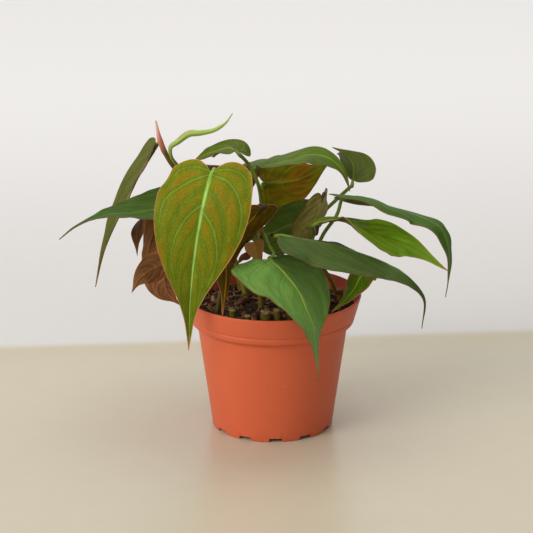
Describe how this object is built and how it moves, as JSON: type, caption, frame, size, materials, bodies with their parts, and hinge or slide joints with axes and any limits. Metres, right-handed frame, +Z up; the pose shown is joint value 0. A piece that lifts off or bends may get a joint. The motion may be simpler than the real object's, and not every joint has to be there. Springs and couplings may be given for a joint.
{
  "type": "potted philodendron",
  "caption": "Young velvet leaf philodendron with long-stalked heart-shaped leaves arching from potting mix in a tapered plastic nursery pot.",
  "frame": {"origin": "middle of the pot's flat base, on the surface that it stands on", "axes": "+Z up along the pot's axis, +X to the viewer's right, -Y towards the viewer of the front"},
  "size_m": [0.2364, 0.1661, 0.1963],
  "materials": {
    "pot": "terracotta-coloured moulded plastic, satin",
    "soil": "damp bark and peat mix, rough",
    "stem": "fresh green to brown stem, matt",
    "leaf_olive": "velvety olive green leaf with pale veins",
    "leaf_green": "velvety mid green leaf",
    "leaf_bright": "velvety bright green young leaf",
    "leaf_dark": "velvety dark green leaf",
    "leaf_maroon": "bronze red leaf underside, matt"
  },
  "bodies": {
    "root": {"pot": "pot", "soil": "soil", "stem_left": "stem", "stem_centre": "stem", "stem_right": "stem", "stem_front": "stem", "stem_back_left": "stem", "stem_back_right": "stem", "stem_low": "stem", "stub_1": "stem", "stub_2": "stem", "stub_3": "stem", "stub_4": "stem", "stub_5": "stem", "stub_6": "stem", "leaf_front_tall": "leaf_olive", "leaf_left_long": "leaf_green", "leaf_left_reach": "leaf_dark", "leaf_left_small": "leaf_maroon", "leaf_left_strip": "leaf_maroon", "leaf_left_fold": "leaf_maroon", "leaf_left_round": "leaf_maroon", "leaf_top_centre": "leaf_green", "leaf_right_back": "leaf_green", "leaf_right_under": "leaf_olive", "leaf_right_lobe": "leaf_dark", "leaf_right_long": "leaf_green", "leaf_right_bright": "leaf_bright", "leaf_right_dark": "leaf_dark", "leaf_front_centre": "leaf_green", "leaf_mid_dark": "leaf_maroon", "leaf_mid_green": "leaf_dark", "leaf_mid_brown": "leaf_maroon", "leaf_low_right": "leaf_olive", "leaf_mid_sheath": "leaf_maroon", "leaf_mid_curl": "leaf_maroon", "leaf_back_left": "leaf_green", "leaf_back_tall": "leaf_olive", "leaf_back_right": "leaf_green", "leaf_back_side": "leaf_dark", "leaf_back_low": "leaf_dark", "leaf_rolled": "leaf_bright"}
  },
  "joints": []
}
